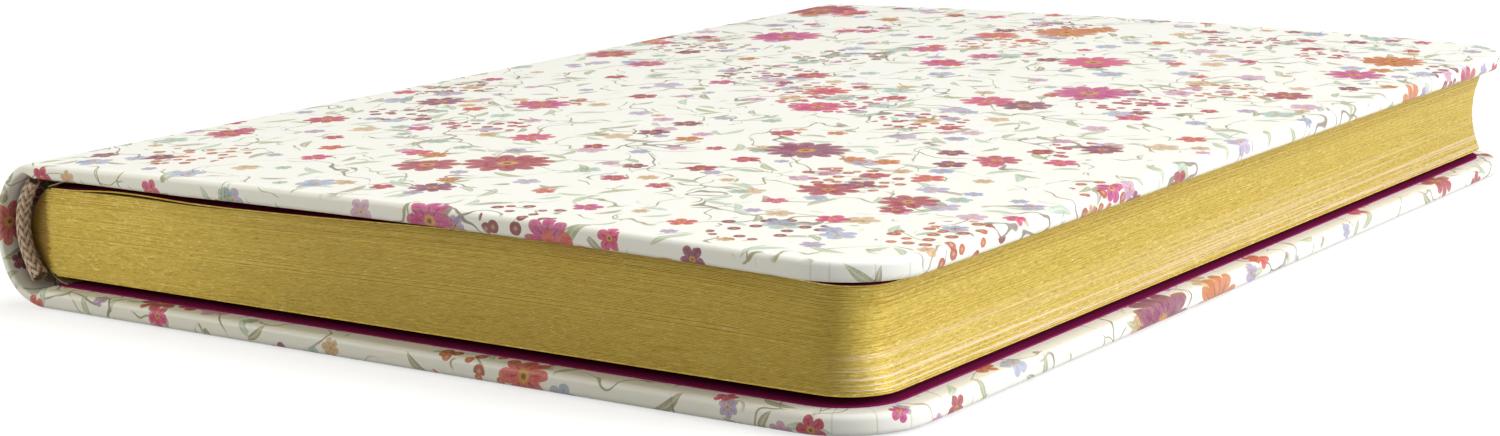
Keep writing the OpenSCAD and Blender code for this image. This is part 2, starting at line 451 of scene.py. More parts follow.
class Graph:
    """The nodes of one material or node group, with short calls for those used here."""

    def __init__(self, tree):
        self.tree = tree

    def node(self, kind, **settings):
        made = self.tree.nodes.new(kind)
        for key, value in settings.items():
            setattr(made, key, value)
        return made

    def feed(self, socket, value):
        if isinstance(value, bpy.types.NodeSocket):
            self.tree.links.new(value, socket)
        elif value is not None:
            socket.default_value = value

    def math(self, operation, a, b=None, c=None):
        made = self.node("ShaderNodeMath", operation=operation)
        for socket, value in zip(made.inputs, (a, b, c)):
            self.feed(socket, value)
        return made.outputs[0]

    def times(self, a, b):
        return self.math("MULTIPLY", a, b)

    def vector(self, operation, a, b=None, scale=None):
        made = self.node("ShaderNodeVectorMath", operation=operation)
        for socket, value in zip(made.inputs, (a, b)):
            self.feed(socket, value)
        if scale is not None:
            self.feed(made.inputs["Scale"], scale)
        return made.outputs["Value" if operation == "LENGTH" else "Vector"]

    def parts(self, value):
        """The three numbers of a place."""
        made = self.node("ShaderNodeSeparateXYZ")
        self.feed(made.inputs[0], value)
        return made.outputs

    def cells(self, place, feature="F1", dimensions="2D", randomness=1.0):
        """Scattered cells of unit size."""
        made = self.node("ShaderNodeTexVoronoi", voronoi_dimensions=dimensions, feature=feature)
        self.feed(made.inputs["W" if dimensions == "1D" else "Vector"], place)
        made.inputs["Scale"].default_value = 1.0
        made.inputs["Randomness"].default_value = randomness
        return made.outputs

    def layer(self, tree, place, values):
        """A layer of the print: a node group at a place, with its values in their order."""
        made = self.node("ShaderNodeGroup", node_tree=tree)
        self.feed(made.inputs[0], place)
        for socket, value in zip(made.inputs[1:], values):
            socket.default_value = value
        return made.outputs

    def wander(self, place, scale, detail, size):
        """A small shift that changes from place to place."""
        drift = self.noise(place, scale, detail, output="Color")
        return self.vector("SCALE", self.vector("SUBTRACT", drift, (0.5, 0.5, 0.5)), scale=size)

    def mix(self, factor, a, b):
        made = self.node("ShaderNodeMix", data_type="RGBA")
        self.feed(made.inputs[0], factor)
        self.feed(made.inputs[6], a)
        self.feed(made.inputs[7], b)
        return made.outputs[2]

    def ease(self, value, low, high, to_low=0.0, to_high=1.0):
        made = self.node("ShaderNodeMapRange", interpolation_type="SMOOTHSTEP")
        for socket, item in zip(made.inputs, (value, low, high, to_low, to_high)):
            self.feed(socket, item)
        return made.outputs[0]

    def noise(self, place, scale, detail=2.0, roughness=0.5, output="Fac"):
        made = self.node("ShaderNodeTexNoise")
        self.feed(made.inputs["Vector"], place)
        made.inputs["Scale"].default_value = scale
        made.inputs["Detail"].default_value = detail
        made.inputs["Roughness"].default_value = roughness
        return made.outputs[output]

    def ramp(self, value, stops, interpolation="LINEAR"):
        made = self.node("ShaderNodeValToRGB")
        made.color_ramp.interpolation = interpolation
        elements = made.color_ramp.elements
        while len(elements) < len(stops):
            elements.new(0.5)
        for element, (place, colour) in zip(elements, stops):
            element.position = place
            element.color = colour
        self.feed(made.inputs[0], value)
        return made.outputs[0]

    def palette(self, value, colours):
        share = 1.0 / len(colours)
        stops = [(i * share, colour) for i, colour in enumerate(colours)]
        return self.ramp(value, stops, "CONSTANT")

    def place(self, scale=(1.0, 1.0, 1.0)):
        """The piece's own coordinates in millimetres, stretched."""
        made = self.node("ShaderNodeTexCoord")
        factor = tuple(1000.0 * s for s in scale)
        return self.vector("MULTIPLY", made.outputs["Object"], factor)

    def grain(self, stretch, detail, roughness):
        """Noise on the piece's own coordinates, stretched."""
        return self.noise(self.place(stretch), 1.0, detail, roughness)

    def paint(self, shader, tone, height, strength, distance):
        """Gives a shader its colour and a bump."""
        made = self.node("ShaderNodeBump")
        made.inputs["Strength"].default_value = strength
        made.inputs["Distance"].default_value = distance
        self.feed(made.inputs["Height"], height)
        self.feed(shader.inputs["Base Color"], tone)
        self.feed(shader.inputs["Normal"], made.outputs[0])


def finish(name, **values):
    """A new material: its graph and its shader, with the even values set on the shader itself."""
    material = bpy.data.materials.new(name)
    material.use_nodes = True
    shader = material.node_tree.nodes["Principled BSDF"]
    for key, value in values.items():
        shader.inputs[key.replace("_", " ")].default_value = value
    return material, Graph(material.node_tree), shader


# Printed paper

def layer_group(name, inputs, outputs):
    """A new node group for a layer of the print: its graph, its given values and its results."""
    tree = bpy.data.node_groups.new(name, "ShaderNodeTree")
    tree.interface.new_socket("Place", in_out="INPUT", socket_type="NodeSocketVector")
    for way, names in (("INPUT", inputs), ("OUTPUT", outputs)):
        for item in names:
            tree.interface.new_socket(item, in_out=way, socket_type="NodeSocketFloat")
    g = Graph(tree)
    return g, g.node("NodeGroupInput").outputs, g.node("NodeGroupOutput").inputs


def scatter(g, given, shift, randomness, waver=0.0):
    """Scattered cells of the sheet: the way from each cell's middle, and three chances of its own."""
    share = g.math("DIVIDE", 1.0, given["Spacing"])
    place = g.vector("SCALE", given["Place"], scale=share)
    place = g.vector("ADD", place, g.vector("SCALE", shift, scale=given["Shift"]))
    if waver:
        place = g.vector("ADD", place, g.wander(place, 5.0, 1.0, waver))
    cells = g.cells(place, randomness=randomness)
    chance = g.node("ShaderNodeSeparateColor")
    g.feed(chance.inputs[0], cells["Color"])
    return g.vector("SUBTRACT", place, cells["Position"]), chance.outputs


def flower_heads():
    """A layer of flower heads or dots, one to a cell of a scattered grid, in millimetres."""
    g, given, result = layer_group(
        "flower heads",
        ("Spacing", "Radius", "Petals", "Notch", "Share", "Shift"),
        ("Inside", "Reach", "Ray", "Pick", "Tone"),
    )
    local, chance = scatter(g, given, (3.71, 8.13, 0.0), 0.78, 0.05)
    parts = g.parts(local)
    across = g.vector("MULTIPLY", local, (1.0, 1.0, 0.0))
    far = g.times(g.vector("LENGTH", across), given["Spacing"])
    turn = g.math("ARCTAN2", parts[1], parts[0])
    turn = g.math("MULTIPLY_ADD", chance[0], 6.283, turn)
    half = g.times(given["Petals"], 0.5)
    ray = g.math("ABSOLUTE", g.math("COSINE", g.times(turn, half)))
    petal = g.math("POWER", ray, 0.55)
    petal = g.times(g.math("SUBTRACT", 1.0, petal), given["Notch"])
    size = g.math("MULTIPLY_ADD", chance[1], 0.38, 0.62)
    size = g.times(size, given["Radius"])
    limit = g.times(size, g.math("SUBTRACT", 1.0, petal))
    reach = g.math("DIVIDE", far, limit)
    present = g.math("LESS_THAN", chance[2], given["Share"])
    inside = g.times(g.ease(reach, 1.0, 0.95), present)
    g.feed(result["Inside"], inside)
    g.feed(result["Reach"], reach)
    g.feed(result["Ray"], ray)
    g.feed(result["Pick"], g.math("DIVIDE", chance[2], given["Share"]))
    g.feed(result["Tone"], chance[1])
    return g.tree


def leaf_sprays():
    """A layer of pointed leaves, each turned its own way, in millimetres."""
    g, given, result = layer_group(
        "leaf sprays",
        ("Spacing", "Length", "Width", "Share", "Shift"),
        ("Inside", "Rib", "Pick"),
    )
    local, chance = scatter(g, given, (5.17, 2.93, 0.0), 0.8)
    local = g.vector("SCALE", local, scale=given["Spacing"])
    spin = g.node("ShaderNodeVectorRotate", rotation_type="Z_AXIS")
    g.feed(spin.inputs["Vector"], local)
    g.feed(spin.inputs["Angle"], g.times(chance[0], 6.283))
    parts = g.parts(spin.outputs[0])
    along = g.math("DIVIDE", parts[0], given["Length"])
    curl = g.times(g.times(along, along), given["Width"])
    off = g.math("ABSOLUTE", g.math("ADD", parts[1], curl))
    room = g.math("SUBTRACT", 1.0, g.times(along, along))
    room = g.times(g.math("MAXIMUM", room, 0.0001), given["Width"])
    inside = g.ease(g.math("DIVIDE", off, room), 1.0, 0.88)
    present = g.math("LESS_THAN", chance[2], given["Share"])
    g.feed(result["Inside"], g.times(inside, present))
    g.feed(result["Rib"], g.ease(off, 0.05, 0.16, 1.0, 0.0))
    g.feed(result["Pick"], g.math("DIVIDE", chance[2], given["Share"]))
    return g.tree


BLOOM_COLOURS = [tint(*tone) for tone in (
    (188, 24, 78),
    (212, 48, 116),
    (214, 78, 70),
    (168, 22, 62),
    (196, 40, 132),
    (134, 40, 92),
    (206, 116, 44),
)]
SOFT_COLOURS = [tint(*tone) for tone in (
    (158, 142, 198),
    (134, 158, 204),
    (198, 134, 186),
    (136, 186, 176),
    (204, 160, 92),
)]
BERRY_COLOURS = [tint(*tone) for tone in (
    (190, 44, 60),
    (214, 60, 118),
    (150, 70, 60),
    (204, 110, 60),
)]
LEAF_COLOURS = [tint(*tone) for tone in (
    (150, 160, 110),
    (172, 186, 152),
    (140, 128, 92),
    (170, 196, 180),
)]

# Spacing, length, width, share and shift of each layer of leaves
LEAF_LAYERS = [
    (7.5, 2.7, 0.62, 0.5, 1.0),
    (5.2, 1.9, 0.5, 0.32, 2.0),
]

# Spacing, radius, petals, notch, share and shift of the groups of berries, and of the berries
BERRY_GROUPS = (21.0, 8.5, 3.0, 0.35, 0.5, 9.0)
BERRIES = (2.3, 0.86, 2.0, 0.05, 0.86, 6.0)

# The same six values, with the colours and the strength, of each layer of blossoms
BLOOM_LAYERS = [
    (9.0, 2.5, 5.0, 0.45, 0.40, 1.0, SOFT_COLOURS, 0.7),
    (6.5, 1.6, 6.0, 0.40, 0.34, 2.0, SOFT_COLOURS, 0.8),
    (15.0, 4.3, 8.0, 0.46, 0.34, 3.0, BLOOM_COLOURS, 0.92),
    (8.0, 2.2, 5.0, 0.50, 0.32, 4.0, BLOOM_COLOURS, 0.95),
    (27.0, 7.6, 12.0, 0.36, 0.24, 5.0, BLOOM_COLOURS, 0.92),
]


def printed_paper(colours):
    """Satin paper with a small printed pattern of blossoms, berries, leaves and stems."""
    material, g, shader = finish("printed cover paper", Roughness=0.36, Specular_IOR_Level=0.25)
    sheet = g.node("ShaderNodeUVMap", uv_map="sheet")
    place = g.vector("SCALE", sheet.outputs[0], scale=100.0 / colours.print_scale)
    heads = flower_heads()
    leaves = leaf_sprays()
    blotch = g.noise(place, 0.55, 4.0, 0.6)
    fine = g.noise(place, 3.2, 3.0, 0.65)
    wash = g.ease(g.math("MULTIPLY_ADD", fine, 0.5, g.times(blotch, 0.5)), 0.3, 0.72)
    ground = (*colours.paper, 1.0)
    colour = g.mix(g.ease(blotch, 0.35, 0.75), ground, tint(250, 248, 238))

    # Stems wander along the bounds between scattered cells
    bent = g.vector("ADD", place, g.wander(place, 0.09, 2.0, 26.0))
    for spacing, width, shift, tone in (
        (19.0, 0.2, 1.3, tint(126, 108, 92)),
        (11.0, 0.15, 7.7, tint(150, 146, 100)),
    ):
        moved = g.vector("ADD", g.vector("SCALE", bent, scale=1.0 / spacing), (shift, shift * 2.3, 0.0))
        thin = g.times(g.cells(moved, "DISTANCE_TO_EDGE")[0], spacing)
        broken = g.ease(g.noise(place, 0.06 + 0.02 * shift, 1.0), 0.46, 0.54)
        mask = g.times(g.ease(thin, width + 0.1, width - 0.05), broken)
        colour = g.mix(g.times(mask, 0.8), colour, tone)

    for values in LEAF_LAYERS:
        leaf = g.layer(leaves, place, values)
        tone = g.palette(leaf["Pick"], LEAF_COLOURS)
        tone = g.mix(g.times(leaf["Rib"], 0.45), tone, tint(232, 232, 205))
        tone = g.mix(g.times(wash, 0.35), tone, tint(240, 242, 225))
        colour = g.mix(g.times(leaf["Inside"], 0.82), colour, tone)

    # Berries fill loose round groups
    group = g.layer(heads, place, BERRY_GROUPS)
    berry = g.layer(heads, place, BERRIES)
    tone = g.palette(group["Pick"], BERRY_COLOURS)
    tone = g.mix(g.times(berry["Tone"], 0.5), tone, tint(120, 24, 60))
    tone = g.mix(g.ease(berry["Reach"], 0.5, 0.1, 0.0, 0.4), tone, tint(250, 214, 190))
    mask = g.times(group["Inside"], berry["Inside"])
    colour = g.mix(g.times(mask, 0.9), colour, tone)

    for *values, tones, strength in BLOOM_LAYERS:
        bloom = g.layer(heads, place, values)
        reach = bloom["Reach"]
        tone = g.palette(bloom["Pick"], tones)
        pale = g.mix(0.42, tone, tint(255, 232, 232))
        tone = g.mix(g.times(wash, 0.55), tone, pale)
        vein = g.times(g.ease(bloom["Ray"], 0.86, 1.0), g.ease(reach, 0.9, 0.3))
        tone = g.mix(g.times(vein, 0.55), tone, tint(104, 14, 50))
        rim = g.times(g.ease(reach, 0.82, 0.92), g.ease(fine, 0.4, 0.6))
        tone = g.mix(g.times(rim, 0.55), tone, tint(196, 150, 84))
        tone = g.mix(g.ease(reach, 0.3, 0.2), tone, tint(214, 160, 66))
        tone = g.mix(g.ease(reach, 0.14, 0.08), tone, tint(120, 62, 40))
        colour = g.mix(g.times(bloom["Inside"], strength), colour, tone)

    # Small pleats where the paper is gathered round the outer corners, with painted shade along their
    # creases
    flat = g.parts(g.vector("SCALE", sheet.outputs[0], scale=100.0))
    form = CaseForm(bpy.context.scene.journal_sizes)
    ends = []
    for front in (True, False):
        corner = 1000.0 * form.printed(form.fore - form.corner, front)
        away = g.math("SUBTRACT", flat[0], corner)
        ends.append(away if front else g.times(away, -1.0))
    out = g.math("MAXIMUM", ends[0], ends[1])
    straight = 500.0 * form.length - 1000.0 * form.corner
    wide = g.math("SUBTRACT", g.math("ABSOLUTE", flat[1]), straight)
    round_corner = g.times(g.ease(out, 0.0, 0.8), g.ease(wide, 0.0, 0.8))
    far = g.math("SQRT", g.math("ADD", g.times(out, out), g.times(wide, wide)))
    past = g.ease(far, 9.5, 10.6)
    turn = g.times(g.math("ARCTAN2", wide, out), 2.9)
    crease = g.ease(g.cells(turn, "DISTANCE_TO_EDGE", "1D")[0], 0.045, 0.005)
    pleat = g.times(g.times(round_corner, past), crease)
    # Painted shade along the creases
    colour = g.mix(g.times(pleat, 0.22), colour, tint(120, 112, 90))

    grain = g.noise(place, 9.0, 3.0, 0.6)
    g.feed(shader.inputs["Roughness"], g.ease(grain, 0.3, 0.7, 0.33, 0.42))
    height = g.math("MULTIPLY_ADD", blotch, 0.6, g.times(grain, 0.12))
    height = g.math("MULTIPLY_ADD", pleat, -1.6, height)
    g.paint(shader, colour, height, 0.12, 0.0002)
    return material


# Other finishes

def gilding_tone(g, gold):
    """Colour and roughness of gold leaf, streaked along the leaves and speckled, with painted glints among
    the specks.
    """
    streak = g.grain((0.05, 0.05, 4.2), 3.0, 0.7)
    scratch = g.grain((0.9, 0.9, 6.5), 3.0, 0.75)
    speck_and_glint = g.grain((1.1, 1.1, 5.5), 4.0, 0.8)
    tone = g.mix(g.ease(streak, 0.4, 0.64, 0.0, 0.35), gold, tint(206, 178, 80))
    tone = g.mix(g.ease(scratch, 0.5, 0.7, 0.0, 0.38), tone, tint(150, 124, 44))
    # Bright specks are painted glints; the dark specks below are the gold's own tone
    tone = g.mix(g.ease(speck_and_glint, 0.56, 0.68, 0.0, 0.8), tone, tint(255, 246, 190))
    tone = g.mix(g.ease(speck_and_glint, 0.46, 0.36, 0.0, 0.5), tone, tint(140, 112, 36))
    return tone, scratch, speck_and_glint


def gilded_edges(colours):
    """Gold leaf on the trimmed edges of the block, streaked along the leaves."""
    material, g, shader = finish("gilded leaf edges", Metallic=0.35, Specular_IOR_Level=0.35)
    tone, scratch, speck_and_glint = gilding_tone(g, (*colours.gilding, 1.0))

    # Bare paper shows between the leaves low on the fore-edge
    parts = g.parts(g.place())
    side = g.ease(parts[0], 54.0, 59.0)
    low = g.ease(parts[2], 9.5, 5.0)
    leaf = g.ease(g.grain((0.012, 0.012, 5.0), 2.0, 0.8), 0.5, 0.6)
    bare = g.times(g.times(side, low), leaf)
    tone = g.mix(g.times(bare, 0.75), tone, tint(244, 222, 200))

    # The gold beside the bands is browned as painted shade, where the bands and the spine keep the light
    # off
    rough = g.math("MULTIPLY_ADD", scratch, 3.0, g.math("SUBTRACT", parts[0], 1.5))
    shade_beside_band = g.ease(rough, -57.0, -57.9)
    tone = g.mix(g.times(shade_beside_band, 0.7), tone, tint(112, 66, 20))

    # The gold of the head and tail is darker towards the fore-edge: painted shade for the light falling off
    # along these faces
    end = g.ease(g.math("ABSOLUTE", parts[1]), 83.0, 85.6)
    painted_end_shade = g.times(end, g.ease(parts[0], -48.0, -4.0))
    painted_end_shade = g.times(painted_end_shade, g.ease(parts[0], 59.2, 56.0))
    tone = g.mix(g.times(painted_end_shade, 0.5), tone, tint(148, 120, 42))
    g.feed(shader.inputs["Roughness"], g.ease(speck_and_glint, 0.3, 0.7, 0.3, 0.5))
    height = g.math("MULTIPLY_ADD", scratch, 0.7, g.times(speck_and_glint, 0.5))
    g.paint(shader, tone, height, 0.75, 0.00013)
    return material


def gilded_endpaper(colours):
    """Magenta endpaper whose trimmed edges are gilded with the block's."""
    material, g, shader = finish("gilded endpaper", Roughness=0.6, Specular_IOR_Level=0.1)
    gold, scratch = gilding_tone(g, (*colours.gilding, 1.0))[:2]
    cloud = g.noise(g.place(), 0.12, 3.0, 0.5)
    face = g.mix(g.ease(cloud, 0.35, 0.7, 0.0, 0.5), (*colours.endpaper, 1.0), tint(140, 36, 92))
    facing = g.parts(g.node("ShaderNodeTexCoord").outputs["Normal"])
    edge = g.ease(g.math("ABSOLUTE", facing[2]), 0.5, 0.3)
    g.feed(shader.inputs["Metallic"], g.times(edge, 0.4))
    g.paint(shader, g.mix(edge, face, gold), scratch, 0.3, 0.00006)
    return material


def endpaper(colours):
    """Deep magenta paper with a faint fibre."""
    material, g, shader = finish("magenta endpaper", Roughness=0.8, Specular_IOR_Level=0.06)
    fibre = g.grain((0.6, 2.4, 2.4), 4.0, 0.65)
    cloud = g.noise(g.place(), 0.12, 3.0, 0.5)
    base = (*colours.endpaper, 1.0)
    tone = g.mix(g.ease(cloud, 0.35, 0.7, 0.0, 0.5), base, tint(142, 34, 88))
    tone = g.mix(g.ease(fibre, 0.45, 0.7, 0.0, 0.3), tone, tint(96, 12, 52))
    g.paint(shader, tone, fibre, 0.25, 0.00006)
    return material


def endpaper_back():
    """The back and cut edge of an endpaper, where it bends at the joint: cream paper darkened to tan and
    brown as painted shade.
    """
    material, g, shader = finish("endpaper reverse", Roughness=0.65, Specular_IOR_Level=0.3)
    fibre = g.grain((2.0, 0.8, 2.0), 4.0, 0.65)
    # Tan and brown stand for cream paper in the joint's shadow: painted shade
    tone = g.mix(g.ease(fibre, 0.35, 0.7), tint(196, 174, 136), tint(150, 124, 90))
    g.paint(shader, tone, fibre, 0.2, 0.00006)
    return material


def band_thread(colours):
    """Beige and pink thread with a fine twist, with a painted highlight where a strand passes over and
    painted shade where it passes under.
    """
    material, g, shader = finish("band thread", Roughness=0.5, Specular_IOR_Level=0.3)
    twist = g.grain((3.0, 8.0, 6.0), 3.0, 0.7)
    cloud = g.noise(g.place(), 0.9, 2.0)
    base = (*colours.band, 1.0)
    crown = g.node("ShaderNodeAttribute", attribute_name="crown").outputs["Fac"]
    tone = g.mix(g.ease(cloud, 0.4, 0.62), base, tint(226, 192, 170))
    tone = g.mix(g.ease(twist, 0.45, 0.75, 0.0, 0.4), tone, tint(150, 118, 92))
    # Painted shade where a strand passes under another
    tone = g.mix(g.ease(crown, 0.72, 0.2, 0.0, 0.85), tone, tint(92, 64, 42))
    # Painted highlight on the crown of a strand
    tone = g.mix(g.ease(crown, 0.8, 0.98, 0.0, 0.6), tone, tint(250, 232, 212))
    g.paint(shader, tone, twist, 0.4, 0.00008)
    return material


def band_core():
    """The core seen between the strands of a band, coloured dark as painted shade."""
    material, g, shader = finish("band core", Roughness=0.85)
    fibre = g.grain((4.0, 4.0, 1.5), 3.0, 0.7)
    # Dark browns stand for the shade between the strands: painted shade
    tone = g.mix(fibre, tint(84, 60, 44), tint(124, 94, 72))
    g.paint(shader, tone, fibre, 0.4, 0.0001)
    return material


def open_cloth():
    """Open cloth glued over the back of the leaves, with its weave and the glue in it."""
    material, g, shader = finish("open cloth", Roughness=0.85)
    waves = []
    for scale in ((0.0, 3.2, 0.0), (0.0, 0.0, 3.2)):
        wave = g.node("ShaderNodeTexWave", wave_type="BANDS", bands_direction="DIAGONAL")
        g.feed(wave.inputs["Vector"], g.place(scale))
        wave.inputs["Scale"].default_value = 0.6
        waves.append(wave.outputs["Fac"])
    thread = g.math("MAXIMUM", waves[0], waves[1])
    stain = g.noise(g.place(), 0.3, 3.0)
    tone = g.mix(thread, tint(176, 160, 132), tint(226, 218, 200))
    tone = g.mix(g.ease(stain, 0.4, 0.7, 0.0, 0.5), tone, tint(196, 170, 120))
    g.paint(shader, tone, thread, 0.5, 0.0001)
    return material


def brown_paper():
    """Brown lining paper with long fibres."""
    material, g, shader = finish("brown lining paper", Roughness=0.8)
    fibre = g.grain((2.0, 0.4, 2.0), 5.0, 0.7)
    tone = g.ramp(fibre, [(0.3, tint(120, 92, 68)), (0.7, tint(160, 128, 98))])
    g.paint(shader, tone, fibre, 0.3, 0.0001)
    return material


def grey_board():
    """Grey pulp board with flecks of darker and paler fibre."""
    material, g, shader = finish("grey board", Roughness=0.9)
    pulp = g.grain((1.2, 1.2, 4.0), 4.0, 0.7)
    fleck = g.noise(g.place(), 2.6, 2.0, 0.5)
    tone = g.ramp(pulp, [(0.3, tint(112, 104, 96)), (0.7, tint(150, 140, 128))])
    tone = g.mix(g.ease(fleck, 0.64, 0.72), tone, tint(70, 64, 62))
    g.paint(shader, tone, pulp, 0.4, 0.0002)
    return material


def finishes():
    """All the finishes by name, made once."""
    colours = bpy.context.scene.journal_colours
    makers = {
        "printed cover paper": printed_paper,
        "gilded leaf edges": gilded_edges,
        "magenta endpaper": endpaper,
        "gilded endpaper": gilded_endpaper,
        "band thread": band_thread,
    }
    plain_makers = {
        "endpaper reverse": endpaper_back,
        "band core": band_core,
        "open cloth": open_cloth,
        "brown lining paper": brown_paper,
        "grey board": grey_board,
    }
    made = {
        name: bpy.data.materials.get(name) or maker(colours)
        for name, maker in makers.items()
    }
    for name, maker in plain_makers.items():
        made[name] = bpy.data.materials.get(name) or maker()
    return made


# Pieces

def covering(form, front):
    """One half of the covering sheet, cut flat and then folded round its board and the spine."""
    thick = bpy.context.scene.journal_sizes.paper_thickness
    first = form.joint - (form.seam if front else form.arc - form.seam)
    margin = form.edge + 0.3 * MM
    half = 0.5 * form.length - margin
    flat_plate(first, form.fore - margin, -half, half, 0.0)
    pick(lambda v: v.co.x > form.joint)
    bpy.ops.mesh.bevel(
        offset=form.corner - margin,
        offset_type="OFFSET",
        segments=12,
        profile=0.5,
        affect="VERTICES",
    )
    board = [form.joint + (form.fore - form.joint - form.corner) * i / 22.0 for i in range(1, 22)]
    count = 44 if front else 22
    round_part = [first + (form.joint - first) * i / count for i in range(1, count + 1)]
    near = [form.joint + 0.5 * MM * i for i in range(1, 7)]
    cut(sorted(board + round_part + near))
    pick(
        lambda e: e.is_boundary and min(v.co.x for v in e.verts) + 1e-7 < max(v.co.x for v in e.verts)
        or e.is_boundary and e.verts[0].co.x > form.joint,
        "EDGE",
    )
    mesh_data = bpy.context.object.data
    for ring in range(RINGS):
        bpy.ops.mesh.extrude_edges_move(TRANSFORM_OT_translate={"value": (0.0, 0.0, 0.0)})
        mesh = bmesh.from_edit_mesh(mesh_data)
        for vertex in mesh.verts:
            if vertex.select:
                u, v = form.spread(vertex.co.x, vertex.co.y, ring, front)
                vertex.co = (u, v, 0.0)
        bmesh.update_edit_mesh(mesh_data)
    bpy.ops.mesh.select_all(action="SELECT")
    bpy.ops.mesh.normals_make_consistent(inside=False)
    mesh = bmesh.from_edit_mesh(mesh_data)
    upward = sum(face.normal.z for face in mesh.faces) > 0
    if upward != front:
        bpy.ops.mesh.flip_normals()
    bpy.ops.object.mode_set(mode="OBJECT")
    piece = named("front_covering" if front else "rear_covering")
    layer = piece.data.uv_layers.get("sheet") or piece.data.uv_layers.new(name="sheet")
    for loop in piece.data.loops:
        co = piece.data.vertices[loop.vertex_index].co
        layer.data[loop.index].uv = (10.0 * form.printed(co.x, front), 10.0 * co.y)
    for other in [item for item in piece.data.uv_layers if item.name != "sheet"]:
        piece.data.uv_layers.remove(other)
    reshape(piece, lambda co: form.fold(co.x, co.y, front))
    modify(piece, "SOLIDIFY", thickness=thick, offset=-1.0)
    shade(piece, 50.0)
    return piece


def greyboard(form, front):
    """A board with its edges eased, lying inside its covering."""
    paper = bpy.context.scene.journal_sizes.paper_thickness
    gap = paper + 0.02 * MM
    z0 = gap if not front else form.top - form.board_wall + gap
    z1 = form.board_wall - gap if not front else form.top - gap
    half = 0.5 * form.length - gap
    start = form.joint + 0.6 * MM
    block(start, form.fore - gap, -half, half, z0, z1)
    upright = lambda e: abs(e.verts[0].co.z - e.verts[1].co.z) > MM and e.verts[0].co.x > 0
    pick(upright, "EDGE")
    bpy.ops.mesh.bevel(offset=form.corner - gap, segments=12, affect="EDGES")
    flat = lambda e: abs(e.verts[0].co.z - e.verts[1].co.z) < 1e-6 and len(
        [f for f in e.link_faces if abs(f.normal.z) > 0.9]
    ) == 1 and max(v.co.x for v in e.verts) > start + MM
    pick(flat, "EDGE")
    bpy.ops.mesh.bevel(offset=form.edge - gap, segments=3, affect="EDGES")
    if front:
        cut([start + (form.fore - start) * i / 20.0 for i in range(1, 20)])
    bpy.ops.object.mode_set(mode="OBJECT")
    piece = named("front_greyboard" if front else "rear_greyboard")
    if front:
        def settle(co):
            full = form.board_wall - 2.0 * gap
            thin = form.board_wall - form.wall(co.x)
            share = (z1 - co.z) / full
            return Vector((co.x, co.y, co.z + form.bow(co.x) + share * max(0.0, thin)))
        reshape(piece, settle)
    shade(piece, 40.0)
    return piece


class JOURNAL_OT_coverings(bpy.types.Operator):
    """Makes the covering paper and the two boards inside it"""

    bl_idname = "journal.coverings"
    bl_label = "Coverings and Boards"

    def execute(self, context):
        form = CaseForm(context.scene.journal_sizes)
        paper = finishes()["printed cover paper"]
        board = finishes()["grey board"]
        front = covering(form, True)
        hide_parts("front_cover_paper", "spine_paper")
        dress(front, None, paper)
        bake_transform(front)
        rear = covering(form, False)
        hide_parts("rear_cover_paper")
        dress(rear, None, paper)
        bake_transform(rear)
        for side, body in ((True, "front_cover"), (False, "rear_cover")):
            piece = greyboard(form, side)
            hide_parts("front_board" if side else "rear_board")
            dress(piece, body, board)
        return {"FINISHED"}


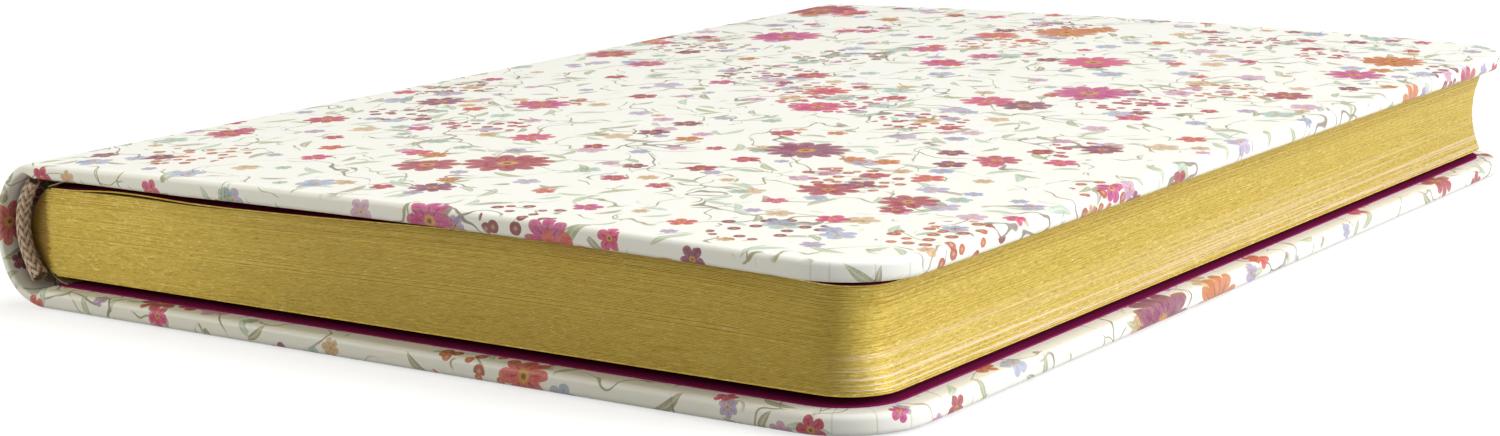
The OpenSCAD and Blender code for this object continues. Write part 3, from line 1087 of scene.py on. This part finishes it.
class JOURNAL_OT_leaves(bpy.types.Operator):
    """Makes the gilded leaves of the block"""

    bl_idname = "journal.leaves"
    bl_label = "Leaves"

    def execute(self, context):
        sizes = context.scene.journal_sizes
        form = CaseForm(sizes)
        joint = form.joint
        shoulder = joint - BACK_SHOULDER
        fore = BLOCK_HIGH.x
        half = BLOCK_HIGH.y
        bottom = BLOCK_LOW.z
        thick = BLOCK_THICK
        count = sizes.leaf_count
        leaf = thick / count
        flat_plate(shoulder, fore, -half, half, 0.0)
        pick(lambda v: v.co.x > 0)
        bpy.ops.mesh.bevel(offset=BLOCK_CORNER, segments=10, profile=0.5, affect="VERTICES")
        across = [joint + 3.0 * MM * i for i in range(1, 9)]
        rest = fore - BLOCK_CORNER - joint - 24.0 * MM
        across += [joint + 24.0 * MM + rest * i / 12.0 for i in range(1, 12)]
        cut(across)
        bpy.ops.mesh.select_all(action="SELECT")
        bpy.ops.mesh.extrude_region_move(TRANSFORM_OT_translate={"value": (0.0, 0.0, leaf)})
        rim = lambda e: abs(e.verts[0].co.z - e.verts[1].co.z) < 1e-7 and any(
            abs(f.normal.z) < 0.5 for f in e.link_faces
        )
        bpy.ops.mesh.select_all(action="SELECT")
        bpy.ops.mesh.normals_make_consistent(inside=False)
        pick(rim, "EDGE")
        bpy.ops.mesh.bevel(offset=0.03 * MM, segments=1, affect="EDGES")
        bpy.ops.object.mode_set(mode="OBJECT")
        piece = named("leaves")
        modify(
            piece,
            "ARRAY",
            count=count,
            use_relative_offset=False,
            use_constant_offset=True,
            constant_offset_displace=(0.0, 0.0, leaf),
        )

        chance = random.Random(7)
        play = [
            (chance.gauss(0.0, 1.0), chance.uniform(0.0, 6.28), chance.uniform(20.0, 60.0))
            for i in range(count + 1)
        ]

        def place(co):
            t = co.z / thick
            i = min(count - 1, int(co.z / leaf))
            h = 2.0 * t - 1.0
            size, phase, rate = play[i]
            wave = math.sin(phase + rate * (co.x + 1.7 * co.y) / (100.0 * MM))
            shift = sizes.leaf_play * (size + wave)
            near_fore = smooth((co.x - (fore - 20.0 * MM)) / (18.0 * MM))
            near_back = smooth(((shoulder + 3.0 * MM) - co.x) / (3.0 * MM))
            x = co.x - near_fore * (FORE_HOLLOW * (1.0 - h * h) - shift)
            x -= near_back * BACK_ROUND * (1.0 - h * h)
            y = co.y
            if abs(y) > half - 0.3 * MM:
                y += math.copysign(shift, y) - math.copysign(0.02 * MM, y)
            tall = thick + form.bow(co.x) - spine_dip(form, co.x) - end_sink(co.x, y)
            return Vector((x, y, bottom + t * tall))

        reshape(piece, place)
        shade(piece, 30.0)
        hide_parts("text_block")
        dress(piece, "book_block", finishes()["gilded leaf edges"])
        return {"FINISHED"}


def band_path(side):
    """Middle line of a head or tail band, which curves round the back of the block."""
    points = []
    for i in range(BAND_POINTS + 1):
        angle = (2.0 * i / BAND_POINTS - 1.0) * BAND_HALF_ANGLE
        x = BAND_MIDDLE.x - BAND_RADIUS * math.cos(angle)
        z = BAND_MIDDLE.y + BAND_RADIUS * math.sin(angle)
        points.append(Vector((x, side * BAND_Y, z)))
    return points


def tube(mesh, path, radii, sides, frames, crowns):
    """Adds a closed tube along a path to a mesh, and marks how far each point stands out of the braid,
    which sets the thread's painted highlight and shade.
    """
    layer = mesh.verts.layers.float.get("crown") or mesh.verts.layers.float.new("crown")
    rings = []
    for point, (across, up), (a, b), crown in zip(path, frames, radii, crowns):
        ring = []
        for k in range(sides):
            turn = 2.0 * math.pi * k / sides
            vertex = mesh.verts.new(point + across * a * math.cos(turn) + up * b * math.sin(turn))
            vertex[layer] = crown * (0.75 + 0.25 * math.sin(turn))
            ring.append(vertex)
        rings.append(ring)
    for one, two in zip(rings, rings[1:]):
        for k in range(sides):
            j = (k + 1) % sides
            mesh.faces.new((one[k], one[j], two[j], two[k]))
    mesh.faces.new(list(reversed(rings[0])))
    mesh.faces.new(rings[-1])


def braid(name, side, strands):
    """A braided band: two sets of strands wind opposite ways and pass over and under each other."""
    path = band_path(side)
    count = len(path) - 1
    ways = []
    for i in range(count + 1):
        way = path[min(count, i + 1)] - path[max(0, i - 1)]
        ways.append(way.normalized())
    flat = Vector((0.0, 1.0, 0.0))
    mesh = bmesh.new()
    frames = [(flat, way.cross(flat).normalized()) for way in ways]
    tube(mesh, path, [(BAND_CORE, BAND_CORE)] * (count + 1), 16, frames, [0.0] * (count + 1))
    # The core takes the band's second finish, dark as painted shade
    for face in mesh.faces:
        face.material_index = 1
    run = [0.0]
    for one, two in zip(path, path[1:]):
        run.append(run[-1] + (two - one).length)
    total = run[-1]
    half = strands // 2
    for s in range(strands):
        hand = 1.0 if s % 2 else -1.0
        start = 2.0 * math.pi * (s // 2) / half
        middle, frame_list, radii, crowns = [], [], [], []
        for i in range(count + 1):
            turn = start + hand * 2.0 * math.pi * run[i] / BAND_PITCH
            wave = hand * math.cos(0.5 * half * turn + 0.25 * math.pi)
            over = 0.7 * MM + 0.09 * MM * wave
            over += 0.16 * MM * smooth(1.0 - run[i] / (2.6 * MM))
            over -= 0.12 * MM * smooth(1.0 - (total - run[i]) / (2.4 * MM))
            out = flat * math.cos(turn) + frames[i][1] * math.sin(turn)
            middle.append(path[i] + out * over)
            crowns.append(0.5 + 0.5 * wave)
        for i in range(count + 1):
            way = (middle[min(count, i + 1)] - middle[max(0, i - 1)]).normalized()
            out = (middle[i] - path[i]).normalized()
            across = way.cross(out).normalized()
            frame_list.append((across, out))
            radii.append((0.24 * MM, 0.13 * MM))
        tube(mesh, middle, radii, 6, frame_list, crowns)
    bmesh.ops.recalc_face_normals(mesh, faces=mesh.faces)
    data = bpy.data.meshes.new(name)
    mesh.to_mesh(data)
    mesh.free()
    piece = bpy.data.objects.new(name, data)
    bpy.context.scene.collection.objects.link(piece)
    return piece


class JOURNAL_OT_bands(bpy.types.Operator):
    """Makes the braided head band and tail band"""

    bl_idname = "journal.bands"
    bl_label = "Head and Tail Bands"

    def execute(self, context):
        strands = context.scene.journal_sizes.band_strands
        for name, side, node in (("head_braid", 1.0, "head_band"), ("tail_braid", -1.0, "tail_band")):
            piece = braid(name, side, strands)
            piece.data.materials.append(finishes()["band thread"])
            piece.data.materials.append(finishes()["band core"])
            shade(piece, 60.0)
            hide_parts(node)
            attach(piece, "book_block")
        return {"FINISHED"}


FRONT_BEND = [
    (-52.2, 15.7), (-53.0, 15.64), (-54.0, 15.44), (-55.0, 15.14), (-56.0, 14.82), (-56.9, 14.56),
    (-57.3, 14.44), (-57.0, 14.41),
]
REAR_BEND = [
    (-54.8, 2.57), (-55.3, 2.6), (-55.9, 2.74), (-56.4, 2.95), (-56.8, 3.16), (-57.15, 3.34),
    (-57.35, 3.44), (-57.1, 3.48),
]


def joint_strip(name, places, half):
    """The part of an endpaper that bends across a joint, drawn out along its curl."""
    x0, z0 = places[0]
    flat_plate(x0 * MM, places[1][0] * MM, -half, half, z0 * MM)
    mesh_data = bpy.context.object.data
    first = max if places[1][0] > x0 else min
    mesh = bmesh.from_edit_mesh(mesh_data)
    end = first(v.co.x for v in mesh.verts)
    pick(lambda e: all(abs(v.co.x - end) < 1e-6 for v in e.verts), "EDGE")
    bpy.ops.transform.translate(value=(0.0, 0.0, (places[1][1] - z0) * MM))
    for before, after in zip(places[1:], places[2:]):
        step = ((after[0] - before[0]) * MM, 0.0, (after[1] - before[1]) * MM)
        bpy.ops.mesh.extrude_edges_move(TRANSFORM_OT_translate={"value": step})
    bpy.ops.mesh.select_all(action="SELECT")
    bpy.ops.mesh.normals_make_consistent(inside=False)
    bpy.ops.object.mode_set(mode="OBJECT")
    piece = named(name)
    modify(piece, "SOLIDIFY", thickness=0.14 * MM, offset=0.0)
    shade(piece, 50.0)
    return piece


def lifted_leaf(form):
    """The front flyleaf, which stands a little off the block beside the spine."""
    half = BLOCK_HIGH.y
    fore = BLOCK_HIGH.x
    flat_plate(form.joint, fore, -half, half, 0.0)
    pick(lambda v: v.co.x > 0)
    bpy.ops.mesh.bevel(offset=BLOCK_CORNER, segments=10, profile=0.5, affect="VERTICES")
    cut([form.joint + 1.5 * MM * i for i in range(1, 17)])
    start = form.joint + 24.0 * MM
    cut([start + (fore - BLOCK_CORNER - start) * i / 14.0 for i in range(1, 14)])
    bpy.ops.mesh.select_all(action="SELECT")
    bpy.ops.mesh.normals_make_consistent(inside=False)
    bpy.ops.object.mode_set(mode="OBJECT")
    piece = named("front_first_leaf")
    base = BLOCK_LOW.z + BLOCK_THICK

    def place(co):
        lift = 0.26 * MM * smooth((co.x - form.joint - 3.0 * MM) / (8.0 * MM))
        lift *= 1.0 - smooth((co.x - form.joint - 14.0 * MM) / (20.0 * MM))
        z = base + form.bow(co.x) - spine_dip(form, co.x) - end_sink(co.x, co.y) + 0.19 * MM + lift
        return Vector((co.x, co.y, z))

    reshape(piece, place)
    modify(piece, "SOLIDIFY", thickness=0.16 * MM, offset=-1.0)
    if piece.data.polygons[0].normal.z < 0:
        raise RuntimeError("the front flyleaf faces down")
    shade(piece, 30.0)
    return piece


class JOURNAL_OT_endpapers(bpy.types.Operator):
    """Makes the parts of the endpapers that bend at the joints"""

    bl_idname = "journal.endpapers"
    bl_label = "Endpaper Joints"

    def execute(self, context):
        half = BLOCK_HIGH.y - 0.2 * MM
        paper = finishes()["endpaper reverse"]
        leaf = lifted_leaf(CaseForm(context.scene.journal_sizes))
        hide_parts("front_flyleaf")
        dress(leaf, "book_block", finishes()["gilded endpaper"])
        front = joint_strip("front_endpaper_joint", FRONT_BEND, half)
        dress(front, None, paper)
        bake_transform(front)
        rear = joint_strip("rear_endpaper_joint", REAR_BEND, half)
        dress(rear, None, paper)
        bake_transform(rear)
        return {"FINISHED"}


class JOURNAL_OT_finishes(bpy.types.Operator):
    """Gives the pieces that keep their modelled shape their finishes"""

    bl_idname = "journal.finishes"
    bl_label = "Finishes"

    def execute(self, context):
        made = finishes()
        for node, material in (
            ("mull", "open cloth"),
            ("back_lining", "brown lining paper"),
            ("spine_strip", "grey board"),
            ("front_pastedown", "magenta endpaper"),
            ("rear_pastedown", "magenta endpaper"),
            ("rear_flyleaf", "gilded endpaper"),
        ):
            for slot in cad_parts[node].material_slots:
                slot.material = made[material]
        return {"FINISHED"}


# Stage

def camera():
    """A long lens looking past the near corner of tail and fore-edge, from low down."""
    yaw, pitch, roll = 0.60777, 0.19521, -0.01773
    look = Vector((-math.sin(yaw) * math.cos(pitch), math.cos(yaw) * math.cos(pitch), -math.sin(pitch)))
    right = Vector((math.cos(yaw), math.sin(yaw), 0.0))
    up = right.cross(look)
    across = math.cos(roll) * right + math.sin(roll) * up
    above = -math.sin(roll) * right + math.cos(roll) * up
    data = bpy.data.cameras.new("camera")
    data.sensor_width = 36.0
    data.lens = 67.923
    data.clip_start = 0.01
    item = bpy.data.objects.new("camera", data)
    turn = Matrix((across, above, -look)).transposed().to_4x4()
    item.matrix_world = Matrix.Translation((0.205967, -0.314928, 0.075934)) @ turn
    bpy.context.scene.collection.objects.link(item)
    bpy.context.scene.camera = item


def lamp(name, place, size, power, target=(0.0, 0.0, 0.01), tone=(1.0, 1.0, 1.0)):
    """A soft square lamp that faces a place."""
    data = bpy.data.lights.new(name, "AREA")
    data.shape = "SQUARE"
    data.size = size
    data.energy = power
    data.color = tone
    item = bpy.data.objects.new(name, data)
    item.location = place
    way = Vector(target) - Vector(place)
    item.rotation_euler = way.to_track_quat("-Z", "Y").to_euler()
    bpy.context.scene.collection.objects.link(item)


class JOURNAL_OT_stage(bpy.types.Operator):
    """Makes the floor, the lamps, the world and the camera"""

    bl_idname = "journal.stage"
    bl_label = "Stage"

    def execute(self, context):
        deselect()
        bpy.ops.mesh.primitive_plane_add(size=6.0, location=(0.0, 0.0, -0.0002))
        floor = named("floor")
        material, g, shader = finish("floor", Roughness=0.9, Specular_IOR_Level=0.1)
        shader.inputs["Base Color"].default_value = (0.4, 0.4, 0.4, 1.0)
        rays = g.node("ShaderNodeLightPath")
        seen = g.math("MAXIMUM", rays.outputs["Is Camera Ray"], rays.outputs["Is Glossy Ray"])
        seen = g.math("MAXIMUM", seen, rays.outputs["Is Transmission Ray"])
        shader.inputs["Emission Color"].default_value = (1.0, 1.0, 1.0, 1.0)
        g.feed(shader.inputs["Emission Strength"], g.times(seen, 0.68))
        floor.data.materials.append(material)
        lamp("key lamp", (1.0, 0.3, 0.52), 0.8, 13.6)
        lamp("top lamp", (0.05, 0.25, 1.3), 0.9, 10.0)
        lamp("fill lamp", (-0.29, -0.34, 0.16), 0.18, 0.64, (-0.05, -0.086, 0.01), (1.0, 0.96, 0.8))
        world = bpy.data.worlds.new("soft room")
        world.use_nodes = True
        back = world.node_tree.nodes["Background"]
        back.inputs["Color"].default_value = (1.0, 1.0, 0.9, 1.0)
        back.inputs["Strength"].default_value = 0.22
        context.scene.world = world
        context.scene.view_settings.view_transform = "Standard"
        camera()
        return {"FINISHED"}


class JOURNAL_PT_panel(bpy.types.Panel):
    """Lists the journal's operators and values"""

    bl_label = "Journal"
    bl_space_type = "VIEW_3D"
    bl_region_type = "UI"
    bl_category = "Journal"

    def draw(self, context):
        for name in OPERATOR_ORDER:
            self.layout.operator(f"journal.{name}")
        for group in (context.scene.journal_sizes, context.scene.journal_colours):
            for key in group.bl_rna.properties.keys():
                if key not in ("rna_type", "name"):
                    self.layout.prop(group, key)


OPERATOR_ORDER = ("leaves", "coverings", "bands", "endpapers", "finishes", "stage")
CLASSES = (
    JournalSizes,
    JournalColours,
    JOURNAL_OT_leaves,
    JOURNAL_OT_coverings,
    JOURNAL_OT_bands,
    JOURNAL_OT_endpapers,
    JOURNAL_OT_finishes,
    JOURNAL_OT_stage,
    JOURNAL_PT_panel,
)


def register():
    for item in CLASSES:
        bpy.utils.register_class(item)
    bpy.types.Scene.journal_sizes = bpy.props.PointerProperty(type=JournalSizes)
    bpy.types.Scene.journal_colours = bpy.props.PointerProperty(type=JournalColours)


def unregister():
    del bpy.types.Scene.journal_colours
    del bpy.types.Scene.journal_sizes
    for item in reversed(CLASSES):
        bpy.utils.unregister_class(item)


def main():
    register()
    for name in OPERATOR_ORDER:
        getattr(bpy.ops.journal, name)()


if __name__ == "__main__":
    main()
